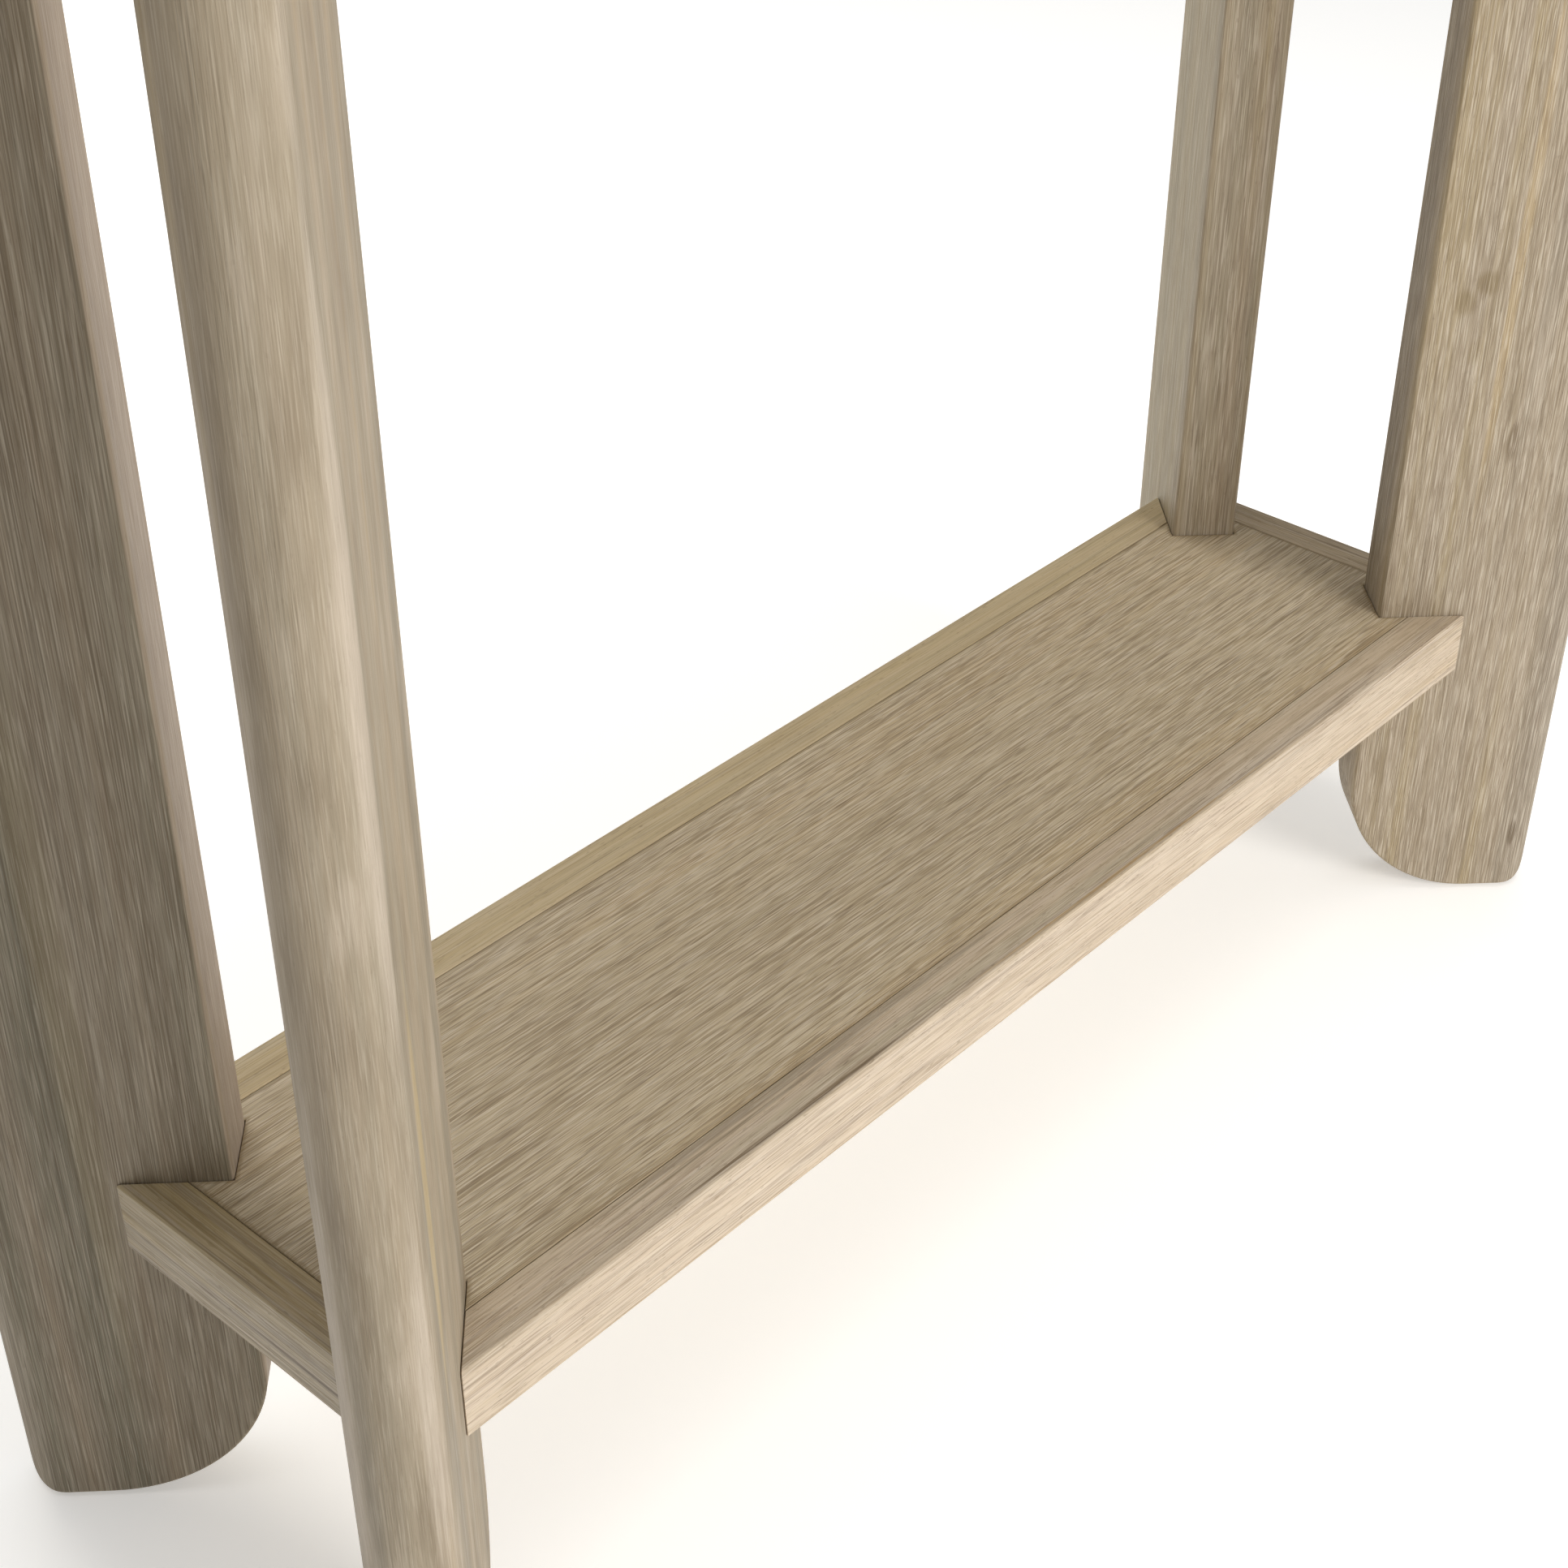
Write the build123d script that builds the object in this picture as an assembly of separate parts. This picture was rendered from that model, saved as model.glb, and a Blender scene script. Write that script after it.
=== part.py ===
from build123d import *
import math
import os

# Console shelf: four plank legs set at 45 degrees across the corners of a low framed shelf,
# with a framed top resting on them. Millimetres, +Z up. The origin is the centre of the
# footprint on the floor, +X runs along the length and -Y is the front.
# Two plan frames are used as well: the leg frame starts at a shelf corner, with X running
# out along the diagonal, and u, v are distances in from a board's corner along X and Y.

# Overall sizes
shelf_length = 840.0
shelf_depth = 218.0
overall_height = 825.0
shelf_height = 201.0            # floor to the shelf's upper face
board_thickness = 38.0          # edge height of the shelf and of the top

# Legs
leg_thickness = 38.0
leg_width = 121.0
leg_inset = 70.0                # shelf corner to the leg's inner face, along the diagonal
leg_arris = 2.0                 # easing of the two inner corners
foot_flat = 26.0                # length of the foot that stands on the floor
foot_outer_radius = 14.0
glide_diameter = 21.0
glide_thickness = 2.0

# Framed boards
shelf_end_strip = 22.0          # visible width of the shelf's end strips
shelf_long_strip = 24.0
top_strip = 24.0
strip_ledge = 8.0               # how far a strip reaches under its panel
panel_thickness = 18.0
top_overhang = 6.0              # top's edge beyond the outside of the legs
edge_radius = 1.5               # easing of the boards' outer edges
panel_gap = 0.3                 # joint line around a panel
leg_gap = 0.2                   # joint line around a leg
spline_length = 22.0            # along the mitre
spline_width = 18.0             # across the mitre
spline_thickness = 4.0
spline_gap = 0.1

# Hidden woodwork
brace_thickness = 24.0
brace_height = 18.0
brace_gap = 0.5                 # brace to the shelf's middle line
pad_margin = 14.0               # pad beyond the leg's inner corners
batten_width = 44.0
batten_height = 16.0

# Bolts, washers and threaded inserts
bolt_diameter = 8.0
bolt_reach = 24.0               # bolt inside the leg
bolt_end_room = 2.0
bolt_clearance = 0.5            # radial, in braces and pads
bolt_head_diameter = 13.0
bolt_head_height = 8.0
bolt_head_chamfer = 0.6
socket_across_flats = 6.0
socket_depth = 4.5
washer_diameter = 16.0
washer_thickness = 1.6
insert_diameter = 12.0
insert_length = 22.0
insert_flange = 16.0
insert_flange_thickness = 1.5
insert_edge = 22.0              # inner top bolt to the leg's inner face
pad_well_wall = 2.0             # wood between a bolt's well and the pad's outer corner
head_room = 0.5
fit_gap = 0.05                  # radial, bolt in insert, insert in leg, screw in pilot
cut_past = 1.0                  # how far a cutter runs past the face it opens

# Wood screws
screw_diameter = 4.0
screw_head_diameter = 8.0
screw_head_height = 3.0
screw_head_flat = 0.6           # flat crown, as a share of the head's radius
screw_head_rim = 0.4            # upright rim, as a share of the head's height
screw_head_room = 0.5
screw_tip = 5.0
screw_length = 26.0
batten_screw_length = 20.0
screw_end_room = 1.0
screw_seat = 8.0                # wood between a screw's head and the face it draws up to
batten_screw_inset = 30.0
pad_screw_inset = 12.0

# Worked out from the sizes above
diagonal = math.sqrt(2)
shelf_bottom = shelf_height - board_thickness
shelf_panel_bottom = shelf_height - panel_thickness
brace_middle = (shelf_bottom + shelf_panel_bottom) / 2
top_bottom = overall_height - board_thickness
top_panel_bottom = overall_height - panel_thickness
top_washer_z = top_panel_bottom - bolt_head_height - washer_thickness - head_room
leg_bottom = glide_thickness
nose_radius = leg_thickness / 2
nose_offset = leg_width - leg_inset - nose_radius      # shelf corner to the middle of the round
leg_face_step = (leg_thickness / 2 + leg_gap) * diagonal
foot_inner_radius = leg_width - foot_flat - foot_outer_radius
top_corner_radius = nose_radius + top_overhang
top_length = shelf_length + 2 * (nose_offset / diagonal + top_corner_radius)
top_depth = shelf_depth + 2 * (nose_offset / diagonal + top_corner_radius)
inner_face_sum = leg_inset * diagonal                  # u + v on the leg's inner face
brace_back_sum = inner_face_sum + brace_thickness * diagonal
ledge_u = shelf_end_strip + strip_ledge                # shelf's clear space starts here
ledge_v = shelf_long_strip + strip_ledge
brace_end_low = inner_face_sum - ledge_u               # v of the brace's end on the end strip
brace_end_high = min(brace_back_sum - ledge_u, shelf_depth / 2 - brace_gap)
pad_start = top_strip + strip_ledge + panel_gap
pad_end = top_corner_radius + (leg_width - nose_radius + leg_thickness / 2) / diagonal + pad_margin
outer_well = pad_start + washer_diameter / 2 + bolt_clearance + pad_well_wall
outer_bolt = nose_offset - (outer_well - top_corner_radius) * diagonal
shelf_insert_seat = (-leg_inset, 0, brace_middle)      # leg frame, as the next two
top_insert_seats = [(outer_bolt, 0, top_bottom), (insert_edge - leg_inset, 0, top_bottom)]

CORNERS = {
    "front_left": (-1, -1),
    "front_right": (1, -1),
    "back_left": (-1, 1),
    "back_right": (1, 1),
}
SIDES = {"front": 0, "right": 90, "back": 180, "left": 270}


def evenly_spaced(names, length):
    """Name to X, with the same distance between neighbours and to the ends."""
    step = length / (len(names) + 1)
    return {name: step * (i + 1) - length / 2 for i, name in enumerate(names)}


SHELF_BATTENS = evenly_spaced(["left", "right"], shelf_length)
TOP_BATTENS = evenly_spaced(["left", "middle", "right"], top_length)


def block(low, high):
    """A box given by its lowest and highest corners."""
    size = [b - a for a, b in zip(low, high)]
    middle = [(a + b) / 2 for a, b in zip(low, high)]
    return Pos(*middle) * Box(*size)


def prism(points, low_z, high_z):
    """A polygon in plan, raised from low_z to high_z."""
    outline = make_face(Polyline(*points, close=True))
    return Pos(0, 0, low_z) * extrude(outline, high_z - low_z)


def cylinder(radius, low_z, high_z):
    """An upright cylinder on the Z axis."""
    return Pos(0, 0, (low_z + high_z) / 2) * Cylinder(radius, high_z - low_z)


def along(shape, seat, direction):
    """Place a fastener or its hole: what is below its origin points along direction."""
    return Plane(origin=seat, z_dir=[-d for d in direction]) * shape


def at_corner(shape, sx, sy):
    """Place a leg-frame shape at one shelf corner."""
    turn = math.degrees(math.atan2(sy, sx))
    return Pos(sx * shelf_length / 2, sy * shelf_depth / 2, 0) * Rot(0, 0, turn) * shape


def shelf_point(sx, sy, u, v):
    """Plan point u and v in from a corner of the shelf."""
    return (sx * (shelf_length / 2 - u), sy * (shelf_depth / 2 - v))


def top_point(sx, sy, u, v):
    """Plan point u and v in from a corner of the top."""
    return (sx * (top_length / 2 - u), sy * (top_depth / 2 - v))


# ---- fasteners: seat at the origin, head above it, shank below ----

def bolt(reach):
    """Socket head cap bolt."""
    head = cylinder(bolt_head_diameter / 2, 0, bolt_head_height)
    head = chamfer(head.edges().group_by(Axis.Z)[-1], bolt_head_chamfer)
    socket = extrude(RegularPolygon(socket_across_flats / 2, 6, major_radius=False), socket_depth)
    recess = Pos(0, 0, bolt_head_height - socket_depth) * socket
    return cylinder(bolt_diameter / 2, -reach, 0) + head - recess


def washer():
    disc = cylinder(washer_diameter / 2, 0, washer_thickness)
    return disc - cylinder(bolt_diameter / 2 + bolt_clearance, 0, washer_thickness)


def insert():
    """Threaded insert with a flange that lies flush in the wood."""
    body = cylinder(insert_diameter / 2, -insert_length, 0)
    flange = cylinder(insert_flange / 2, -insert_flange_thickness, 0)
    return body + flange - cylinder(bolt_diameter / 2 + fit_gap, -insert_length, 0)


def screw(length):
    """Pan head wood screw."""
    radius = screw_diameter / 2
    head_radius = screw_head_diameter / 2
    outline = Polyline(
        (0, screw_head_height),
        (head_radius * screw_head_flat, screw_head_height),
        (head_radius, screw_head_height * screw_head_rim),
        (head_radius, 0),
        (radius, 0),
        (radius, screw_tip - length),
        (0, -length),
        close=True)
    return revolve(make_face(Plane.XZ * outline), Axis.Z)


# ---- legs ----

def leg_plan(grow):
    """The plank in the leg frame: square inner end, full round outer end."""
    half = leg_thickness / 2 + grow
    run = nose_offset + leg_inset + grow
    plank = Pos(nose_offset - run / 2, 0) * Rectangle(run, 2 * half)
    return plank + Pos(nose_offset, 0) * Circle(half)


def leg_blank():
    """Plank with eased inner corners and a foot rounded at both ends."""
    plan = leg_plan(0)
    plan = fillet(plan.vertices().group_by(Axis.X)[0], leg_arris)
    plank = Pos(0, 0, leg_bottom) * extrude(plan, top_bottom - leg_bottom)
    middle = Pos(leg_width / 2 - leg_inset, (leg_bottom + top_bottom) / 2)
    side = middle * Rectangle(leg_width, top_bottom - leg_bottom)
    side = fillet(side.vertices().group_by(Axis.Y)[0].sort_by(Axis.X)[0], foot_inner_radius)
    side = fillet(side.vertices().group_by(Axis.Y)[0].sort_by(Axis.X)[-1], foot_outer_radius)
    return plank & extrude(Plane.XZ * side, leg_thickness, both=True)


def leg():
    """Plank with the bores for its threaded inserts."""
    bore = insert_cutter(bolt_reach + bolt_end_room)
    plank = leg_blank() - along(bore, shelf_insert_seat, (1, 0, 0))
    for seat in top_insert_seats:
        plank = plank - along(bore, seat, (0, 0, -1))
    return plank


def insert_cutter(depth):
    """Bore and flange recess for an insert, with room for the bolt's end."""
    return cylinder(insert_diameter / 2 + fit_gap, -depth, 0) + cylinder(
        insert_flange / 2 + fit_gap, -insert_flange_thickness, 0)


def glide():
    """Felt disc under the flat of the foot."""
    middle = leg_width - leg_inset - foot_outer_radius - foot_flat / 2
    return Pos(middle, 0, 0) * cylinder(glide_diameter / 2, 0, glide_thickness)


# ---- framed boards ----

def strip_prism(outer, inner, edge, width, low_z, high_z):
    """Bar along X at y = edge, with half lengths given on its outer and inner sides."""
    points = [(-outer, edge), (outer, edge), (inner, edge + width), (-inner, edge + width)]
    return prism(points, low_z, high_z)


def strip(length, depth, width, end_cut, low_z, high_z, ledge_z):
    """Rebated edge strip at a board's -Y edge: its ends are cut at 45 degrees."""
    outer = length / 2 - end_cut
    under = width + strip_ledge
    upper = strip_prism(outer, outer - width, -depth / 2, width, ledge_z, high_z)
    lower = strip_prism(outer, outer - under, -depth / 2, under, low_z, ledge_z)
    return upper + lower


def screw_hole(seat, direction, pocket_depth, length=screw_length):
    """Pilot for a screw, with an open pocket behind its head."""
    hole = cylinder(screw_diameter / 2 + fit_gap, -length - screw_end_room, 0)
    if pocket_depth:
        hole = hole + cylinder(screw_head_diameter / 2 + screw_head_room, 0, pocket_depth)
    return along(hole, seat, direction)


def batten_screws(places, depth, strip_width, panel_bottom):
    """Seats of the two screws in each cross batten."""
    reach = depth / 2 - strip_width - strip_ledge - batten_screw_inset
    seat_z = panel_bottom - screw_seat
    return [((x, y, seat_z), (0, 0, 1)) for x in places for y in (-reach, reach)]


def shelf_batten_screws():
    return batten_screws(SHELF_BATTENS.values(), shelf_depth, shelf_long_strip, shelf_panel_bottom)


def top_batten_screws():
    return batten_screws(TOP_BATTENS.values(), top_depth, top_strip, top_panel_bottom)


def batten(middle_x, depth, strip_width, panel_bottom):
    """Cross bar under a panel, between the ledges of the long strips."""
    reach = depth / 2 - strip_width - strip_ledge - panel_gap
    low = (middle_x - batten_width / 2, -reach, panel_bottom - batten_height)
    high = (middle_x + batten_width / 2, reach, panel_bottom)
    bar = block(low, high)
    for seat, direction in batten_screws([middle_x], depth, strip_width, panel_bottom):
        bar = bar - screw_hole(seat, direction, batten_height, batten_screw_length)
    return bar


# ---- shelf ----

def shelf_strip(turn):
    """Strip whose square 45 degree ends meet the faces of two legs."""
    end_strip = turn % 180 == 90
    length, depth = (shelf_depth, shelf_length) if end_strip else (shelf_length, shelf_depth)
    width = shelf_end_strip if end_strip else shelf_long_strip
    bar = strip(length, depth, width, leg_face_step, shelf_bottom, shelf_height, shelf_panel_bottom)
    outer_face = bar.faces().sort_by(Axis.Y)[0]
    bar = Rot(0, 0, turn) * fillet(outer_face.edges().filter_by(Axis.X), edge_radius)
    for seat, direction in all_brace_screws():
        bar = bar - screw_hole(seat, direction, 0)
    return bar


def shelf_panel():
    """Panel with a slot at each corner that clears a leg."""
    half_x = shelf_length / 2 - shelf_end_strip - panel_gap
    half_y = shelf_depth / 2 - shelf_long_strip - panel_gap
    panel = block((-half_x, -half_y, shelf_panel_bottom), (half_x, half_y, shelf_height))
    slot = Pos(0, 0, shelf_panel_bottom) * extrude(leg_plan(leg_gap), panel_thickness)
    for sx, sy in CORNERS.values():
        panel = panel - at_corner(slot, sx, sy)
    for seat, direction in shelf_batten_screws():
        panel = panel - screw_hole(seat, direction, 0, batten_screw_length)
    return panel


def brace_screws(sx, sy):
    """Seats of the two screws that hold a brace to its strips."""
    long_middle = (inner_face_sum + brace_back_sum) / 2 - ledge_v
    end_middle = (brace_end_low + brace_end_high) / 2
    to_long = shelf_point(sx, sy, long_middle, ledge_v + screw_seat)
    to_end = shelf_point(sx, sy, ledge_u + screw_seat, end_middle)
    return [((*to_long, brace_middle), (0, sy, 0)), ((*to_end, brace_middle), (sx, 0, 0))]


def all_brace_screws():
    return [spot for sx, sy in CORNERS.values() for spot in brace_screws(sx, sy)]


def own_quarter(sx, sy):
    """The space of one corner, up to the shelf's middle lines."""
    size = (shelf_length / 2, shelf_depth / 2 - brace_gap, shelf_height)
    x, y = shelf_point(sx, sy, size[0] / 2, size[1] / 2)
    return Pos(x, y, size[2] / 2) * Box(*size)


def shelf_brace(sx, sy):
    """Diagonal bar behind the leg, mitred onto both strips and kept to its own corner."""
    corners = [
        (inner_face_sum - ledge_v, ledge_v),
        (brace_back_sum - ledge_v, ledge_v),
        (ledge_u, brace_back_sum - ledge_u),
        (ledge_u, brace_end_low),
    ]
    points = [shelf_point(sx, sy, u, v) for u, v in corners]
    brace = prism(points, shelf_panel_bottom - brace_height, shelf_panel_bottom)
    brace = brace & own_quarter(sx, sy)
    hole = cylinder(bolt_diameter / 2 + bolt_clearance, 0, brace_thickness + cut_past)
    brace = brace - at_corner(along(hole, shelf_insert_seat, (1, 0, 0)), sx, sy)
    for seat, direction in brace_screws(sx, sy):
        brace = brace - screw_hole(seat, direction, brace_thickness)
    return brace


# ---- top ----

def top_blank():
    """Outside form of the top: corners concentric with the legs' round outer edges."""
    outline = RectangleRounded(top_length, top_depth, top_corner_radius)
    slab = Pos(0, 0, top_bottom) * extrude(outline, board_thickness)
    return fillet(slab.faces().filter_by(Axis.Z).edges(), edge_radius)


def spline(sx, sy, gap):
    """Loose tongue across one mitre, or its slot when gap is not zero."""
    middle = (top_strip + strip_ledge) / 2
    x, y = top_point(sx, sy, middle, middle)
    tongue = Box(spline_length + 2 * gap, spline_width + 2 * gap, spline_thickness + 2 * gap)
    turn = math.degrees(math.atan2(sy, sx))
    return Pos(x, y, (top_bottom + top_panel_bottom) / 2) * Rot(0, 0, turn) * tongue


def top_strip_bar(turn):
    """Strip mitred to its neighbours over the legs."""
    end_strip = turn % 180 == 90
    length, depth = (top_depth, top_length) if end_strip else (top_length, top_depth)
    bar = strip(length, depth, top_strip, 0, top_bottom, overall_height, top_panel_bottom)
    bar = (Rot(0, 0, turn) * bar) & top_blank()
    for sx, sy in CORNERS.values():
        bar = bar - spline(sx, sy, spline_gap)
    return bar


def top_panel():
    half_x = top_length / 2 - top_strip - panel_gap
    half_y = top_depth / 2 - top_strip - panel_gap
    panel = block((-half_x, -half_y, top_panel_bottom), (half_x, half_y, overall_height))
    for seat, direction in all_pad_screws():
        panel = panel - screw_hole(seat, direction, 0)
    for seat, direction in top_batten_screws():
        panel = panel - screw_hole(seat, direction, 0, batten_screw_length)
    return panel


def pad_screws(sx, sy):
    """Seats of the three screws that lift a pad to the panel, clear of the leg."""
    near = pad_start + pad_screw_inset
    far = pad_end - pad_screw_inset
    spots = [top_point(sx, sy, u, v) for u, v in [(far, near), (near, far), (far, far)]]
    return [((x, y, top_bottom + screw_seat), (0, 0, 1)) for x, y in spots]


def all_pad_screws():
    return [spot for sx, sy in CORNERS.values() for spot in pad_screws(sx, sy)]


def top_pad(sx, sy):
    """Block in the corner of the recess: bolted down to the leg, screwed up to the panel."""
    corners = [(pad_start, pad_start), (pad_end, pad_start), (pad_end, pad_end), (pad_start, pad_end)]
    points = [top_point(sx, sy, u, v) for u, v in corners]
    pad = prism(points, top_bottom, top_panel_bottom)
    hole = cylinder(bolt_diameter / 2 + bolt_clearance, top_bottom - cut_past, top_panel_bottom)
    well = cylinder(washer_diameter / 2 + bolt_clearance, top_washer_z, top_panel_bottom + cut_past)
    for place, _, _ in top_insert_seats:
        pad = pad - at_corner(Pos(place, 0, 0) * (hole + well), sx, sy)
    for seat, direction in pad_screws(sx, sy):
        pad = pad - screw_hole(seat, direction, screw_seat + cut_past)
    return pad


# ---- assembly ----

def place_on_shelf_bolt(shape, from_leg_face):
    """A fastener on the shelf bolt's line, its seat from_leg_face behind the leg."""
    x, y, z = shelf_insert_seat
    return along(shape, (x - from_leg_face, y, z), (1, 0, 0))


def in_every_leg(shapes):
    """Copies of leg-frame shapes at all four corners."""
    return [at_corner(shape, sx, sy) for sx, sy in CORNERS.values() for shape in shapes]


def at_seats(shape, seats):
    return [along(shape, seat, direction) for seat, direction in seats]


nodes = {}
one_leg = leg()
for name, (sx, sy) in CORNERS.items():
    nodes["leg_" + name] = at_corner(one_leg, sx, sy)
    nodes["foot_glide_" + name] = at_corner(glide(), sx, sy)
    nodes["shelf_brace_" + name] = shelf_brace(sx, sy)
    nodes["top_pad_" + name] = top_pad(sx, sy)
for name, turn in SIDES.items():
    nodes["shelf_strip_" + name] = shelf_strip(turn)
    nodes["top_strip_" + name] = top_strip_bar(turn)
nodes["shelf_panel"] = shelf_panel()
nodes["top_panel"] = top_panel()
for name, x in SHELF_BATTENS.items():
    nodes["shelf_batten_" + name] = batten(x, shelf_depth, shelf_long_strip, shelf_panel_bottom)
for name, x in TOP_BATTENS.items():
    nodes["top_batten_" + name] = batten(x, top_depth, top_strip, top_panel_bottom)

shelf_bolt = bolt(brace_thickness + washer_thickness + bolt_reach)
top_bolt = bolt(top_washer_z + washer_thickness - top_bottom + bolt_reach)
groups = {
    "shelf_leg_bolts": in_every_leg([place_on_shelf_bolt(shelf_bolt, brace_thickness + washer_thickness)]),
    "shelf_leg_washers": in_every_leg([place_on_shelf_bolt(washer(), brace_thickness)]),
    "shelf_leg_inserts": in_every_leg([place_on_shelf_bolt(insert(), 0)]),
    "top_leg_bolts": in_every_leg(
        [Pos(x, y, top_washer_z + washer_thickness) * top_bolt for x, y, _ in top_insert_seats]),
    "top_leg_washers": in_every_leg([Pos(x, y, top_washer_z) * washer() for x, y, _ in top_insert_seats]),
    "top_leg_inserts": in_every_leg([along(insert(), seat, (0, 0, -1)) for seat in top_insert_seats]),
    "shelf_brace_screws": at_seats(screw(screw_length), all_brace_screws()),
    "top_pad_screws": at_seats(screw(screw_length), all_pad_screws()),
    "shelf_batten_screws": at_seats(screw(batten_screw_length), shelf_batten_screws()),
    "top_batten_screws": at_seats(screw(batten_screw_length), top_batten_screws()),
    "top_mitre_splines": [spline(sx, sy, 0) for sx, sy in CORNERS.values()],
}
for name, pieces in groups.items():
    nodes[name] = Compound(children=pieces)

os.makedirs("parts", exist_ok=True)
for name, shape in nodes.items():
    export_step(shape, "parts/" + name + ".step")
print(len(nodes), "nodes; overall", round(top_length, 2), round(top_depth, 2), overall_height)
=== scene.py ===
# %% [markdown]
# # A console shelf in limed hardwood
# This notebook dresses a finished CAD model: four plank legs set at 45 degrees, a low
# framed shelf between them and a framed top above. The CAD parts are the truth about
# size and place, so the first cell loads them as a fixed frame in metres and keeps the
# box round them.

import math
import random

import bmesh
import bpy
from mathutils import Matrix, Vector


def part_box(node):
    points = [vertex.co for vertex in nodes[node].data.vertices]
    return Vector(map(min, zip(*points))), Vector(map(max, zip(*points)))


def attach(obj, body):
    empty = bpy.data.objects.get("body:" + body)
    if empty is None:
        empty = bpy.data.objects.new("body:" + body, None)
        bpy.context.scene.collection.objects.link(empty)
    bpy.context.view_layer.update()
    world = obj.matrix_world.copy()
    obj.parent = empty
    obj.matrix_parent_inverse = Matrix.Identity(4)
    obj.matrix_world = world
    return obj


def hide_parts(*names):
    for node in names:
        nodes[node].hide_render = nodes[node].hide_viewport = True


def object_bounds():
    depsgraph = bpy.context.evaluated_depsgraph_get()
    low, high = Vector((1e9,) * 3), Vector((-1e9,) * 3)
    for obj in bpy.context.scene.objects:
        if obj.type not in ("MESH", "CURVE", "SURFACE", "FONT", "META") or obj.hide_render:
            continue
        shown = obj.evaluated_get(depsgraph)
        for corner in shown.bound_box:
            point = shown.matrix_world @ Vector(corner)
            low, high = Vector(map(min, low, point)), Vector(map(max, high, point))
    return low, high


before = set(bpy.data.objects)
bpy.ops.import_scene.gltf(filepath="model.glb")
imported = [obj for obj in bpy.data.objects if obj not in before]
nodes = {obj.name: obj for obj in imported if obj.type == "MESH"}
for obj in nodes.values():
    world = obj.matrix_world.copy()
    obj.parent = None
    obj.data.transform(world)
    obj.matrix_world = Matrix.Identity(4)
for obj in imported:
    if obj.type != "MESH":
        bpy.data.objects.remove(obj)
cad_low, cad_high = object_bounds()
print(len(nodes), "CAD nodes; box in metres", tuple(cad_low), tuple(cad_high))

# %% [markdown]
# ## Measuring the parts
# Every place comes from the CAD meshes. A leg stands at 45 degrees, so its own box in X
# and Y says little about the plank: what is wanted is how far the mesh reaches along a
# chosen direction. One helper measures that for any direction, and the sizes of the
# plank, of the foot and of the boards are read with it or are named here once.

# %% Measure along a direction
MM = 0.001
UP = Vector((0, 0, 1))


def reach(node, direction):
    """Lowest and highest distance of a CAD node along a direction."""
    distances = [vertex.co.dot(direction) for vertex in nodes[node].data.vertices]
    return min(distances), max(distances)


CORNERS = {
    "front_left": Vector((-1, -1, 0)).normalized(),
    "front_right": Vector((1, -1, 0)).normalized(),
    "back_left": Vector((-1, 1, 0)).normalized(),
    "back_right": Vector((1, 1, 0)).normalized(),
}
first = CORNERS["front_left"]
inner_end, outer_end = reach("leg_front_left", first)
left_side, right_side = reach("leg_front_left", UP.cross(first))
leg_low, leg_high = reach("leg_front_left", UP)
LEG_WIDTH = outer_end - inner_end
LEG_THICKNESS = right_side - left_side
LEG_HEIGHT = leg_high - leg_low
FOOT_INNER_RADIUS = 81 * MM
FOOT_OUTER_RADIUS = 14 * MM
LEG_EASING = 2.2 * MM
print("leg", round(LEG_WIDTH, 4), "x", round(LEG_THICKNESS, 4), "x", round(LEG_HEIGHT, 4))

# %% [markdown]
# ## Colours
# A paint chart or a colour picker gives sRGB, but a shader works with light, which is
# linear. One function does that turn, so every colour below can be written as the
# familiar six-figure code.

# %% sRGB code to linear colour


def linear(code):
    """A colour such as b9a88c as linear red, green, blue and alpha."""
    shares = [int(code[i:i + 2], 16) / 255 for i in (0, 2, 4)]
    return tuple(((s + 0.055) / 1.055) ** 2.4 if s > 0.04045 else s / 12.92 for s in shares) + (1,)


print("mid beige in linear light:", [round(c, 3) for c in linear("b9a88c")])

# %% [markdown]
# ## Building node trees
# A material is a small machine of nodes. Written out by hand each node takes several
# lines, so one helper adds any node, sets what it is given and links what comes from
# other nodes. Inputs are named, or numbered where a node uses one name twice.

# %% Add a node


def add(tree, kind, inputs=None, **settings):
    """A new node with its settings, and values or links on its inputs."""
    made = tree.nodes.new(kind)
    for name, value in settings.items():
        setattr(made, name, value)
    for key, value in (inputs or {}).items():
        if isinstance(value, bpy.types.NodeSocket):
            tree.links.new(value, made.inputs[key])
        else:
            made.inputs[key].default_value = value
    return made


def new_material(name):
    """An empty material and its node tree, ready for a shader."""
    material = bpy.data.materials.new(name)
    material.use_nodes = True
    material.node_tree.nodes.clear()
    return material, material.node_tree


def finish_material(tree, shader):
    """The shader goes to the output."""
    add(tree, "ShaderNodeOutputMaterial", {"Surface": shader.outputs[0]})


print("node trees are built on Blender", bpy.app.version_string)

# %% [markdown]
# ## Limed hardwood
# The visible wood is a light acacia. It was wire brushed along the grain, rubbed with a
# white lime wash that stays in the pores, and sealed with a matt lacquer. The eye reads
# four things: broad bands of tan, grey and green, which are the growth of the tree;
# streaks a few millimetres wide; short dark grooves where the brush took the soft wood;
# and pale dashes where the lime stayed.
#
# A picture of wood could be wrapped on, but it would repeat and stretch. Noise that is
# long along the grain and narrow across it gives each board its own figure and runs
# right through the solid, so edges and faces agree. A brush mark is really 0.3 to 0.5 mm
# wide. Here the marks are about 0.7 mm, coarser than life, so that they still show when
# the whole piece is in view.

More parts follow.
